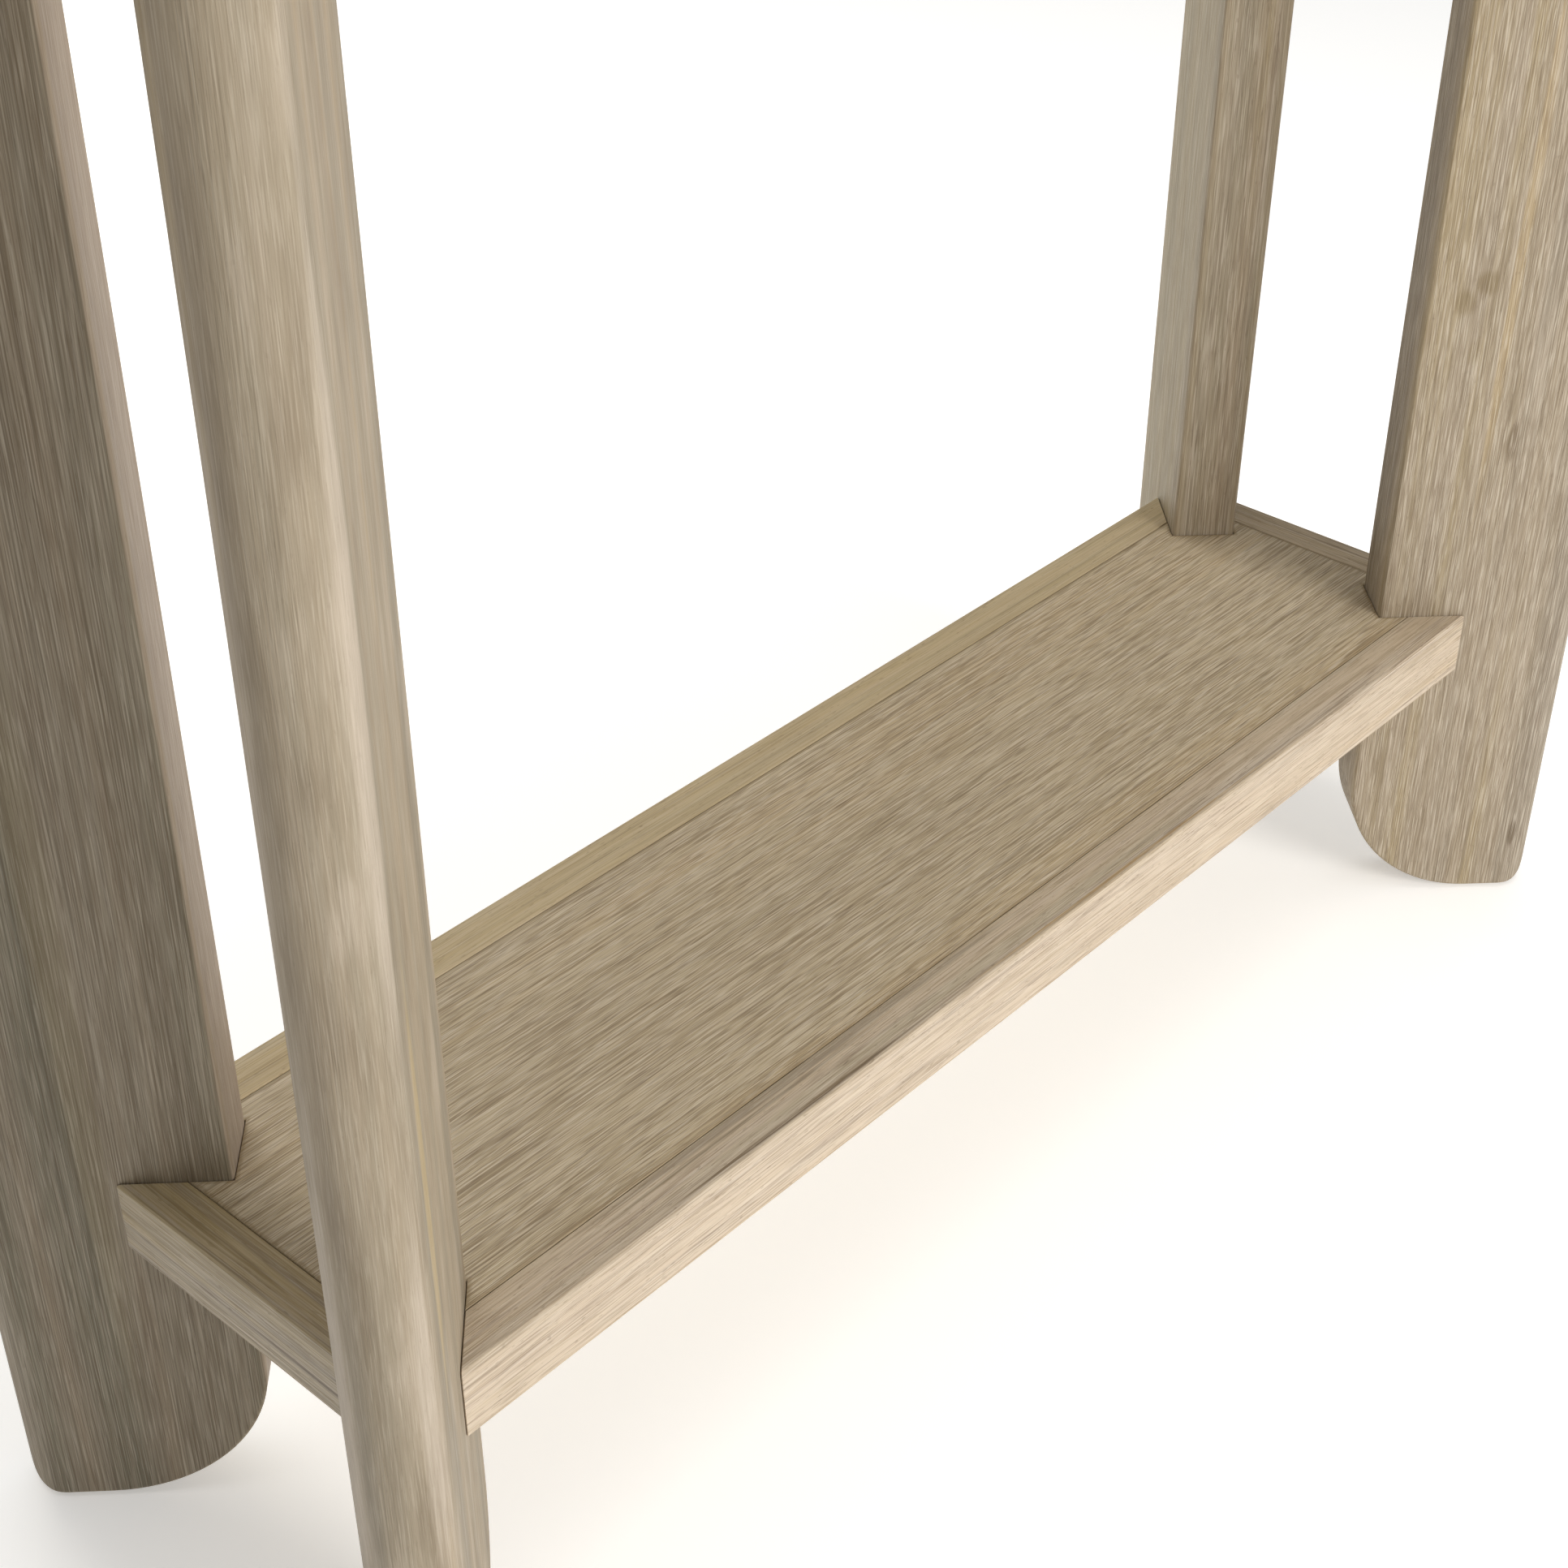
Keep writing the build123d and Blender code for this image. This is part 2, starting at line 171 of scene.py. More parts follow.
# %% Sizes and tones of the marks
BRUSH_LINE = (90, 0.65)      # length and width in mm, as the next ones
DARK_DASH = (20, 0.65)
LIME_DASH = (24, 0.7)
STREAK = (300, 4.2)
BAND = (1100, 24)
CLOUD = (110, 17)
PORE = (4.0, 0.8)
SWAY = (420, 90)
LIME_WHITE = "ddd2c0"
GROOVE_BROWN = "6a5740"
PIT_BROWN = "57452f"
BAND_STOPS = (0.34, 0.42, 0.5, 0.58, 0.66)       # where the five tones of a board lie
MARK_FRAY = 1.2                # how unevenly a mark's edge runs
WEAR_FRAY = 4.0                # the same for the wear at an arris, in mm
BRUSH_DEPTH = 0.3 * MM
BRUSH_STRENGTH = 0.6
DULL_SHEEN = (0.52, 0.66)      # roughness of matt lacquer, smoother and rougher patches
LACQUER_IOR = 1.48
print("marks from", PORE[0], "to", BAND[0], "mm long")

# %% [markdown]
# ## Three tools for grain
# Every layer of the wood is the same pair of steps: a noise stretched along the grain
# says where, and a tone is laid over there by some amount. Knots and heart streaks can't
# be left to chance, so a mark is an oval at a given place, and the same noise frays it.

# %% Noise, layers and marks


def grain_noise(tree, place, size, detail, offset):
    """Noise stretched along the grain; size is its length and width in mm."""
    length, width = size
    scaled = add(tree, "ShaderNodeVectorMath", {
        0: place, 1: (1 / length, 1 / width, 1 / width), 2: (offset, offset, -offset),
    }, operation="MULTIPLY_ADD")
    return add(tree, "ShaderNodeTexNoise", {
        "Vector": scaled.outputs[0], "Scale": 1.0, "Detail": detail, "Roughness": 0.55,
    })


def lay_over(tree, colour, value, low, high, amount, code):
    """A tone laid over a colour: nothing where the value is at low, the amount at high."""
    mask = add(tree, "ShaderNodeMapRange", {
        "Value": value, "From Min": low, "From Max": high, "To Max": amount,
    }, interpolation_type="SMOOTHSTEP")
    laid = add(tree, "ShaderNodeMix", {0: mask.outputs[0], 6: colour, 7: linear(code)},
               data_type="RGBA")
    return laid.outputs[2]


def mark_reach(tree, place, ragged, mark, shift):
    """Distance from a mark's middle, 1 at its edge, made uneven so that no edge is clean."""
    along, across, half_length, half_width = mark[:4]
    oval = add(tree, "ShaderNodeVectorMath", {
        0: place, 1: (1 / half_length, 1 / half_width, 0),
        2: (-(along + shift[0]) / half_length, -(across + shift[1]) / half_width, 0),
    }, operation="MULTIPLY_ADD")
    away = add(tree, "ShaderNodeVectorMath", {0: oval.outputs[0]}, operation="LENGTH")
    uneven = add(tree, "ShaderNodeMath", {0: ragged, 1: MARK_FRAY, 2: away.outputs["Value"]},
                 operation="MULTIPLY_ADD")
    return uneven.outputs[0]


trial, trial_tree = new_material("trial")
lay_over(trial_tree, linear(LIME_WHITE), 0.5, 0.0, 1.0, 1.0, GROOVE_BROWN)
print("one layer takes", len(trial_tree.nodes), "nodes")
bpy.data.materials.remove(trial)

# %% [markdown]
# ## One board
# A board's own place in the noise comes first, then its slow sway, then the layers from
# the broadest to the finest, much as they come about on the real board: growth, stain,
# brushed lines, the board's own marks, lime, grooves, pores and last the wear at the
# arrises. The brushed lines and grooves also give the relief.

# %% Wood for one board
# noise, value where there is none of it, value where there is all, strength, its share, tone
GROWTH_LAYERS = (
    ("streak", 0.54, 0.7, "streak", 1.0, "dark"),
    ("streak", 0.44, 0.28, "streak", 0.7, "pale"),
    ("cloud", 0.5, 0.7, "cloud", 1.0, "dark"),
    ("cloud", 0.47, 0.3, "cloud", 1.0, "pale"),
    ("line", 0.5, 0.64, "line", 1.0, "dark"),
    ("line", 0.5, 0.36, "line", 1.0, "pale"),
)
# noise, value where there is none of it, value where there is all, strength, tone
WORK_LAYERS = (
    ("lime", 0.5, 0.66, "lime", LIME_WHITE),
    ("dark", 0.5, 0.66, "groove", GROOVE_BROWN),
    ("pore", 0.72, 0.8, "pit", PIT_BROWN),
)
MARK_EDGE = (1.7, 1.1)         # where a mark begins and where it is full
WEAR_EDGE = (4.4, 2.2)         # the same for the wear at an arris
NOISE_STEP = 7.3               # keeps one kind of noise clear of the next
GROOVE_IN_RELIEF = -0.8        # grooves go down by this share of what the lines rise


def grained_wood(name, grain, across, shift, look):
    """One board's wood with its grain along one direction, brushed and limed as its look says."""
    material, tree = new_material(name)
    turn = Matrix((grain, across, grain.cross(across))).to_euler()
    coordinates = add(tree, "ShaderNodeTexCoord")
    in_mm = add(tree, "ShaderNodeVectorMath", {0: coordinates.outputs["Object"], "Scale": 1 / MM},
                operation="SCALE")
    turned = add(tree, "ShaderNodeMapping", {
        "Vector": in_mm.outputs[0], "Location": shift, "Rotation": turn,
    }).outputs[0]
    sway = grain_noise(tree, turned, SWAY, 1.0, 0.0).outputs["Color"]
    bent = add(tree, "ShaderNodeVectorMath", {
        0: sway, 1: (0, look["sway"], look["sway"]), 2: turned,
    }, operation="MULTIPLY_ADD").outputs[0]

    sizes = {     # size, and how many finer octaves the noise gets
        "line": (BRUSH_LINE, 1.0), "dark": (DARK_DASH, 1.0), "lime": (LIME_DASH, 1.0),
        "streak": (STREAK, 3.0), "band": (BAND, 2.0), "cloud": (CLOUD, 2.0), "pore": (PORE, 0.0),
    }
    noise = {}
    for number, (kind, ((length, width), detail)) in enumerate(sizes.items()):
        size = (length * look["stretch"], width)
        noise[kind] = grain_noise(tree, bent, size, detail, NOISE_STEP * number).outputs[0]

    ground = add(tree, "ShaderNodeValToRGB", {"Fac": noise["band"]})
    stops = ground.color_ramp.elements
    stops[0].position = BAND_STOPS[0]
    stops[1].position = BAND_STOPS[-1]
    stops[0].color = linear(look["bands"][0])
    stops[1].color = linear(look["bands"][-1])
    for place, code in zip(BAND_STOPS[1:-1], look["bands"][1:-1]):
        stops.new(place).color = linear(code)
    colour = ground.outputs[0]

    layers = [(noise[kind], low, high, look[strength] * share, look[tone])
              for kind, low, high, strength, share, tone in GROWTH_LAYERS]
    for mark in look.get("marks", ()):
        reached = mark_reach(tree, turned, noise["streak"], mark, shift)
        layers.append((reached, *MARK_EDGE, mark[5], mark[4]))
    arris = add(tree, "ShaderNodeAttribute", attribute_name="arris_mm")
    from_arris = add(tree, "ShaderNodeMath", {
        0: noise["streak"], 1: WEAR_FRAY, 2: arris.outputs["Fac"],
    }, operation="MULTIPLY_ADD").outputs[0]
    layers += [(noise[kind], low, high, look[strength], tone)
               for kind, low, high, strength, tone in WORK_LAYERS]
    layers.append((from_arris, *WEAR_EDGE, look["rubbed"], look["edge"]))
    for value, low, high, amount, code in layers:
        if amount:
            colour = lay_over(tree, colour, value, low, high, amount, code)

    ridge = add(tree, "ShaderNodeMath", {0: noise["dark"], 1: GROOVE_IN_RELIEF, 2: noise["line"]},
                operation="MULTIPLY_ADD")
    relief = add(tree, "ShaderNodeBump", {
        "Strength": BRUSH_STRENGTH, "Distance": BRUSH_DEPTH, "Height": ridge.outputs[0],
    })
    roughness = add(tree, "ShaderNodeMapRange", {
        "Value": noise["streak"], "From Min": 0.3, "From Max": 0.7,
        "To Min": DULL_SHEEN[0], "To Max": DULL_SHEEN[1],
    })
    shader = add(tree, "ShaderNodeBsdfPrincipled", {
        "Base Color": colour, "Roughness": roughness.outputs[0], "Normal": relief.outputs[0],
        "IOR": LACQUER_IOR, "Specular IOR Level": 0.4,
    })
    finish_material(tree, shader)
    return material


print("layers on a board:", len(GROWTH_LAYERS), "of growth and brush,", len(WORK_LAYERS), "of finish")

# %% [markdown]
# ## The looks of the boards
# The maker picked straight, quiet staves for the panels, lively edge pieces for the
# strips and long clean planks for the legs. Each look is a short list of tones and
# strengths that the wood function reads. The bands run from grey green through beige to
# tan, and none is far from the next, as in one batch of timber.

# %% Tones of legs, strips and panels
LEG_LOOK = {
    "bands": ("908674", "998d79", "a1937e", "a4957e", "a69476"), "dark": "6f604b", "pale": "bbad9b",
    "edge": "a39274", "stretch": 1.3, "sway": 5.0, "streak": 0.3, "cloud": 0.16, "line": 0.4,
    "lime": 0.34, "groove": 0.34, "pit": 0.2, "rubbed": 0.3,
}
STRIP_LOOK = {
    "bands": ("a39b88", "b2a692", "bcae98", "c2b29b", "b8a686"), "dark": "6f5f4a", "pale": "d2c6b5",
    "edge": "b7a27c", "stretch": 1.2, "sway": 7.0, "streak": 0.6, "cloud": 0.12, "line": 0.4,
    "lime": 0.35, "groove": 0.38, "pit": 0.35, "rubbed": 0.35,
}
PANEL_LOOK = {
    "bands": ("b0a184", "b6a689", "b9a98c", "b8a88a", "baa786"), "dark": "7d6b52", "pale": "d0c2a9",
    "edge": "8b7757", "stretch": 0.85, "sway": 3.0, "streak": 0.16, "cloud": 0.04, "line": 0.55,
    "lime": 0.42, "groove": 0.42, "pit": 0.0, "rubbed": 0.5,
}
GRAIN_X = Vector((1, 0, 0))
GRAIN_Y = Vector((0, 1, 0))
BATCH_SEED = 45
FARTHEST_CUT = 4000            # mm
chance = random.Random(BATCH_SEED)


def next_shift():
    """Where in the endless noise the next board is cut from, in mm."""
    return tuple(chance.uniform(-FARTHEST_CUT, FARTHEST_CUT) for _ in range(3))


for name, look in (("legs", LEG_LOOK), ("strips", STRIP_LOOK), ("panels", PANEL_LOOK)):
    print(name, "run through", ", ".join(look["bands"]))

# %% [markdown]
# ## Turning points into pieces
# Each wooden piece is built from rings or sheets of points that are worked out from its
# sizes, rather than from a cube with modifiers: that gives even quads, a true rounded
# arris and a value on every point that says how far it is from the nearest arris. The
# wood reads that value, because brushing and handling rub the edges first.

# %% Make a mesh piece
MERGE_DISTANCE = 0.005 * MM
SHARP_ANGLE = math.radians(40)


class Points:
    """Vertices, their distance to an arris in mm, and the faces between them."""

    def __init__(self):
        self.places = []
        self.arris = []
        self.faces = []

    def row(self, places, arris):
        start = len(self.places)
        self.places += places
        self.arris += arris
        return list(range(start, len(self.places)))

    def bridge(self, rows, closed=False):
        """Quads between neighbouring rows."""
        for low, high in zip(rows, rows[1:]):
            count = len(low) if closed else len(low) - 1
            for i in range(count):
                j = (i + 1) % len(low)
                self.faces.append((low[i], low[j], high[j], high[i]))


def make_piece(name, points, material):
    """A mesh object in the shared frame that stands for the CAD node of the same name."""
    mesh = bpy.data.meshes.new(name + "_mesh")
    mesh.from_pydata(points.places, [], points.faces)
    attribute = mesh.attributes.new("arris_mm", "FLOAT", "POINT")
    attribute.data.foreach_set("value", points.arris)
    mesh.materials.append(material)
    piece = bpy.data.objects.new("wood_" + name, mesh)
    bpy.context.scene.collection.objects.link(piece)
    merge_and_smooth(mesh)
    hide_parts(name)
    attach(piece, "root")
    return piece


def merge_and_smooth(mesh):
    """Join points that meet, turn faces outward and keep only true corners sharp."""
    work = bmesh.new()
    work.from_mesh(mesh)
    bmesh.ops.remove_doubles(work, verts=work.verts, dist=MERGE_DISTANCE)
    bmesh.ops.recalc_face_normals(work, faces=work.faces)
    work.to_mesh(mesh)
    work.free()
    mesh.shade_smooth()
    mesh.set_sharp_from_angle(angle=SHARP_ANGLE)


print("points within", MERGE_DISTANCE / MM, "mm are joined; corners over",
      round(math.degrees(SHARP_ANGLE)), "degrees stay sharp")

# %% [markdown]
# ## The legs
# A leg is a plank 38 mm thick. Its outer edge, the nose, is a full half round, its two
# inner corners are just eased, and the foot sweeps up in a large curve towards the inside
# with a small one outside. It could be cut from a block with booleans, but the small
# easing round the curved foot would then be hard to keep clean.
#
# Instead both wide faces are sheets over the plank's side view. At each point the half
# thickness falls off near the nose as a circle does, and again within the last two
# millimetres before an arris. A wall of quads joins the two sheets.

# %% The plank's side view
NOSE_RADIUS = LEG_THICKNESS / 2
NOSE_START = LEG_WIDTH - NOSE_RADIUS
OUTER_START = LEG_WIDTH - FOOT_OUTER_RADIUS
ACROSS_WALL = (1, 0.88, 0.6, 0.2, -0.2, -0.6, -0.88, -1)
FOOT_ROWS = (3, 4.5, 7, 10, 14, 19, 26, 35, 48, 64)     # mm above the foot's edge
BODY_START = 90
BODY_STEP = 30
TOP_MARGIN = 20


def foot_rise(a):
    """Height of the foot's edge at a distance out from the inner face."""
    if a < FOOT_INNER_RADIUS:
        return FOOT_INNER_RADIUS - math.sqrt(FOOT_INNER_RADIUS ** 2 - (FOOT_INNER_RADIUS - a) ** 2)
    beyond = max(0.0, a - OUTER_START)
    return FOOT_OUTER_RADIUS - math.sqrt(max(0.0, FOOT_OUTER_RADIUS ** 2 - beyond ** 2))


def arris_distance(a, z):
    """How far a point of the side view lies inside the plank's eased outline."""
    sides = [a, z, LEG_HEIGHT - z]
    if a < FOOT_INNER_RADIUS and z < FOOT_INNER_RADIUS:
        sides.append(FOOT_INNER_RADIUS - math.hypot(FOOT_INNER_RADIUS - a, FOOT_INNER_RADIUS - z))
    if a > OUTER_START and z < FOOT_OUTER_RADIUS:
        sides.append(FOOT_OUTER_RADIUS - math.hypot(a - OUTER_START, FOOT_OUTER_RADIUS - z))
    return max(0.0, min(sides))


def half_thickness(a, z):
    """Half the plank's thickness there: round at the nose, eased at every arris."""
    nose = math.sqrt(max(0.0, NOSE_RADIUS ** 2 - max(0.0, a - NOSE_START) ** 2))
    short = max(0.0, LEG_EASING - arris_distance(a, z))
    return max(0.0, nose - (LEG_EASING - math.sqrt(LEG_EASING ** 2 - short ** 2)))


print("half thickness in the middle", round(half_thickness(LEG_WIDTH / 2, LEG_HEIGHT / 2), 4))

# %% [markdown]
# ## Where the points go
# An even grid would waste points on the flat and facet the curves. The columns and rows
# crowd at the easings, the foot's curve and the nose, at equal angles along each arc.

# %% Columns, rows and the leg's mesh


def rise(radius, degrees):
    """How far an arc has risen from its flat start, at each of some angles."""
    return [radius * (1 - math.cos(math.radians(t))) for t in degrees]


def leg_columns():
    """Distances out from the inner face: close together where the form turns."""
    easing = rise(LEG_EASING, range(0, 90, 18))
    sweep = rise(FOOT_INNER_RADIUS, range(14, 91, 4))
    nose = [NOSE_START + NOSE_RADIUS * math.sin(math.radians(t)) for t in range(0, 91, 5)]
    return easing + sweep + nose


def leg_rows():
    """Heights above the foot's edge, close together at both ends."""
    ends = rise(LEG_EASING, range(0, 91, 18))
    foot = [s * MM for s in FOOT_ROWS]
    body = [s * MM for s in range(BODY_START, round(LEG_HEIGHT / MM) - TOP_MARGIN, BODY_STEP)]
    return ends + foot + body + [LEG_HEIGHT - s for s in reversed(ends)]


def leg_points(name, out):
    """The plank's two sheets and its wall, placed on the CAD leg."""
    inner, _ = reach("leg_" + name, out)
    side = UP.cross(out)
    side_low, side_high = reach("leg_" + name, side)
    middle = (side_low + side_high) / 2
    points = Points()

    def row(spots):
        places = [out * (inner + a) + side * (middle + c) + UP * (leg_low + z)
                  for a, c, z, _ in spots]
        return points.row(places, [arris / MM for _, _, _, arris in spots])

    columns = leg_columns()
    grid = []
    for s in leg_rows():
        heights = [foot_rise(a) + s * (LEG_HEIGHT - foot_rise(a)) / LEG_HEIGHT for a in columns]
        grid.append(list(zip(columns, heights)))
    for sign in (1, -1):
        points.bridge([
            row([(a, sign * half_thickness(a, z), z, arris_distance(a, z)) for a, z in line])
            for line in grid])
    rim = [line[0] for line in reversed(grid)] + grid[0][1:]
    for edge in (rim, grid[-1]):
        wall = []
        for share in ACROSS_WALL:
            spots = []
            for a, z in edge:
                half = half_thickness(a, z)
                spots.append((a, share * half, z, (1 - abs(share)) * half))
            wall.append(row(spots))
        points.bridge(wall)
    return points


print(len(leg_columns()), "columns by", len(leg_rows()), "rows on each wide face")

# %% [markdown]
# ## Four planks, four characters
# The legs are cut from different planks. The near ones are quieter and greyer, and the
# back left one is much darker: that extra darkness is painted shade, not the plank's own
# colour. The front right one has a tan heart streak and a few small knots. Only what
# differs from the common look is written here.

# %% Tones and marks of the legs, and the legs
OWN_TONES_AND_SHADE = {
    "front_left": {"bands": ("8c8270", "948873", "9a8c76", "9c8d76", "a08e70"), "stretch": 0.8,
                   "line": 0.12, "lime": 0.12, "groove": 0.12, "cloud": 0.38, "streak": 0.18,
                   "pit": 0.1},
    "front_right": {"bands": ("8b8070", "958976", "9c8e79", "9d8f78", "9f8f70"), "streak": 0.16,
                    "cloud": 0.08, "stretch": 0.9},
    "back_right": {"bands": ("9a907d", "a39783", "ab9d87", "ae9e87", "b09e7f")},
    # the back left leg's darker bands, dark and pale tones are painted shade on a grey-green plank
    "back_left": {"bands": ("77705d", "7e7662", "857a67", "8a7e6a", "8f806a"), "dark": "574a38",
                  "pale": "9f9582", "lime": 0.2},
}
# height, distance out from the inner face, half length and half width in mm, tone, strength
LEG_MARKS = {
    "front_left": [(430, 96, 70, 6, "83745d", 0.4), (330, 88, 110, 7, "b9a273", 0.5),
                   (560, 108, 160, 7, "c3b5a4", 0.5), (250, 112, 120, 6, "c6b9a9", 0.5)],
    "front_right": [(420, 47, 200, 3.5, "b59d70", 0.42), (409, 31, 9, 7, "7b6a4a", 0.65),
                    (398, 21, 10, 6, "82714f", 0.6), (368, 30, 10, 4, "82714f", 0.5),
                    (313, 60, 14, 4, "6a5942", 0.65), (42, 105, 10, 3, "5f4f39", 0.7)],
    "back_right": [(400, 62, 1500, 70, "8d8368", 0.6), (400, 6, 500, 4, "7d7259", 0.5)],
    "back_left": [(300, 60, 260, 9, "91825f", 0.3), (400, 0, 1200, 1.6, "a8998a", 0.8)],
}


def leg_look(name, inner):
    """The common look with this plank's own tones (darkened as painted shade for the back left leg),
    and its marks in the frame's places.
    """
    marks = [(height, inner / MM + out_mm, *rest) for height, out_mm, *rest in LEG_MARKS[name]]
    return {**LEG_LOOK, **OWN_TONES_AND_SHADE.get(name, {}), "marks": marks}


for name, out in CORNERS.items():
    look = leg_look(name, reach("leg_" + name, out)[0])
    wood = grained_wood("limed_acacia_leg_" + name, UP, out, next_shift(), look)
    leg = make_piece("leg_" + name, leg_points(name, out), wood)
    print(leg.name, len(leg.data.polygons), "faces")

# %% [markdown]
# ## The edge strips
# Shelf and top are framed: a thin panel lies in a rebate of four solid strips, so that
# the wide board can move with the seasons. A strip is one section, drawn once with its
# rounded outer edges and the ledge under the panel, and swept along the side. At the
# shelf its ends are cut at 45 degrees against the legs. At the top they follow the round
# corner to the mitre.

# %% Sections and sweeps
STRIP_EASING = 1.6 * MM
JOINT_EASING = 0.8 * MM
ARC_STEPS = 6


def rounded(corners):
    """A loop round square corners given as (x, y, radius)."""
    loop = []
    for i, (x, y, radius) in enumerate(corners):
        here = Vector((x, y))
        before = (Vector(corners[i - 1][:2]) - here).normalized()
        after = (Vector(corners[(i + 1) % len(corners)][:2]) - here).normalized()
        if radius == 0:
            loop.append(here)
            continue
        centre = here + (before + after) * radius
        for step in range(ARC_STEPS + 1):
            t = math.pi / 2 * step / ARC_STEPS
            loop.append(centre - (after * math.cos(t) + before * math.sin(t)) * radius)
    return loop


def inset(loop, distance):
    """A counter-clockwise loop drawn in by a distance, corners kept as mitres."""
    moved = []
    for i, here in enumerate(loop):
        along = (here - loop[i - 1]).normalized()
        onward = (loop[(i + 1) % len(loop)] - here).normalized()
        first_normal = Vector((-along.y, along.x))
        second_normal = Vector((-onward.y, onward.x))
        lean = 1 + first_normal.dot(second_normal)
        moved.append(here + (first_normal + second_normal) * (distance / lean))
    return moved


def strip_section(width, ledge, height, panel):
    """Section of a strip: x in from the outer edge, y up from its underside."""
    return rounded([
        (0, 0, STRIP_EASING),
        (width + ledge, 0, JOINT_EASING),
        (width + ledge, height - panel, JOINT_EASING),
        (width, height - panel, 0),
        (width, height, JOINT_EASING),
        (0, height, STRIP_EASING),
    ])


sample = strip_section(24 * MM, 8 * MM, 38 * MM, 18 * MM)
print("a strip's section has", len(sample), "points")

# %% [markdown]
# ## Sweeping a section
# A curve object with a bevel could carry the section too, but its ends can't be cut at
# 45 degrees. So each station is a plan line from the outer edge to the inner edge, and
# the section is stretched onto it. At an end the section is drawn in a little, which
# eases the cut.

# %% Carry the section along the side


def corner_distance(spot, width, height):
    """How many mm in from the nearest corner of a section, added up along both its sides."""
    x, y = spot
    beside = min(abs(x), abs(width - x))
    return (beside + min(abs(y), abs(height - y))) / MM


def sweep_strip(section, stations, width, height, low_z):
    """The section carried along stations: each is a plan line from outer to inner edge."""
    points = Points()
    full = max(spot.x for spot in section)
    rows = []
    for outer, inner, drawn_in in stations:
        loop = inset(section, drawn_in) if drawn_in else section
        places = [(*outer.lerp(inner, spot.x / full), low_z + spot.y) for spot in loop]
        rows.append(points.row(places, [corner_distance(spot, width, height) for spot in section]))
    points.bridge(rows, closed=True)
    points.faces.append(tuple(reversed(rows[0])))
    points.faces.append(tuple(rows[-1]))
    return points


strip_middle = Vector((12, 19)) * MM
print("from a strip's middle to a corner", round(corner_distance(strip_middle, 24 * MM, 38 * MM)), "mm")

# %% [markdown]
# ## Where the strips run
# The plan lines are worked out in the strip's own corner: u runs along the edge from the
# board's corner and v runs in. The same few lines, mirrored, make both ends, and turning
# them by 0, 90, 180 or 270 degrees makes all four sides.

# %% Plan lines of the sides
SIDES = {"front": 0, "right": 90, "back": 180, "left": 270}
STRIP_LEDGE = 8 * MM
TOP_CORNER_RADIUS = 25 * MM
LEG_JOINT = 0.2 * MM
PLAN_STEPS = 9
SWEEP_PIECES = 24


def side_frame(prefix, side):
    """Half length, half depth and turn of a side; the corner is where both halves meet."""
    half_depth = -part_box(prefix + "_front")[0].y
    half_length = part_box(prefix + "_right")[1].x
    if SIDES[side] % 180:
        half_length, half_depth = half_depth, half_length
    return half_length, half_depth, Matrix.Rotation(math.radians(SIDES[side]), 2)


def both_ends(stations, half_length, half_depth, turn):
    """Stations of one end, given in u and v, placed at the right end and mirrored left."""
    placed = []
    for mirror in (-1, 1):
        order = stations if mirror < 0 else reversed(stations)
        for outer, inner, drawn_in in order:
            spots = []
            for p in (outer, inner):
                spots.append(turn @ Vector((mirror * (half_length - p.x), p.y - half_depth)))
            placed.append((*spots, drawn_in))
    return placed


def along_side(start, half_length, full):
    """Even square stations from a start to near the middle of the side."""
    step = (half_length - start) / SWEEP_PIECES
    return [(Vector((start + step * i, 0)), Vector((start + step * i, full)), 0)
            for i in range(1, SWEEP_PIECES)]


def shelf_end(step, full, half_length):
    """A 45 degree cut that starts a step in from the corner."""
    ends = [(Vector((step + shift, 0)), Vector((step + full + shift, full)), drawn)
            for shift, drawn in ((0, JOINT_EASING), (JOINT_EASING, 0))]
    return ends + along_side(step + full + JOINT_EASING, half_length, full)


def top_end(radius, full, half_length):
    """From the mitre round the corner."""
    stations = []
    turns = [math.pi / 4 * (1 - i / PLAN_STEPS) for i in range(PLAN_STEPS + 1)]
    turns.insert(1, turns[0] - JOINT_EASING / radius)
    for i, t in enumerate(turns):
        outer = Vector((radius - radius * math.sin(t), radius - radius * math.cos(t)))
        inner = Vector((full + i * JOINT_EASING, full))
        stations.append((outer, inner, 0 if i else JOINT_EASING))
    return stations + along_side(full + len(turns) * JOINT_EASING, half_length, full)


print("an end of a shelf strip has", len(shelf_end(30 * MM, 32 * MM, 420 * MM)), "stations")

# %% [markdown]
# ## Lively edge wood
# The strips come from the lively edge of the board. The front one has a grey and a
# brown line near the joint, the left one is darker with a yellow arris, and the back one
# is plain. The tones are given by side; what isn't given stays as in the common look.

# %% Tones of the shelf's strips and the eight strips
# marks: along the board and across it, half length and half width in mm, tone, strength
STRIP_TONES = {
    "front": {"bands": ("b9ab98", "c3b39e", "cab9a4", "cdbca7", "c8b49a"), "dark": "7d6c5b",
              "streak": 0.35,
              "marks": [(-165, -88.0, 150, 2.8, "6b6866", 0.62),
                        (-210, -92.5, 110, 1.2, "675f50", 0.6),
                        (-185, -106.2, 95, 1.3, "54412d", 0.85),
                        (-60, -101, 260, 4, "a79e82", 0.4),
                        (60, -106.5, 160, 1.3, "a9884f", 0.6),
                        (180, -97, 160, 1.6, "7a6b52", 0.4)]},
    "left": {"bands": ("a79d8f", "ada291", "b1a592", "b1a48f", "ab9d86"), "dark": "6b5e51",
             "edge": "b09a66", "rubbed": 0.6,
             "marks": [(0, -402, 160, 5, "6a5f54", 0.35), (40, -411, 90, 1.6, "62564a", 0.5)]},
    "back": {"bands": ("b0a17f", "b8a886", "beae8a", "c0ae89", "baa67d"), "line": 0.25,
             "lime": 0.15, "groove": 0.2, "streak": 0.3},
}
panel_low, panel_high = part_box("shelf_panel")
PANEL_THICKNESS = panel_high.z - panel_low.z


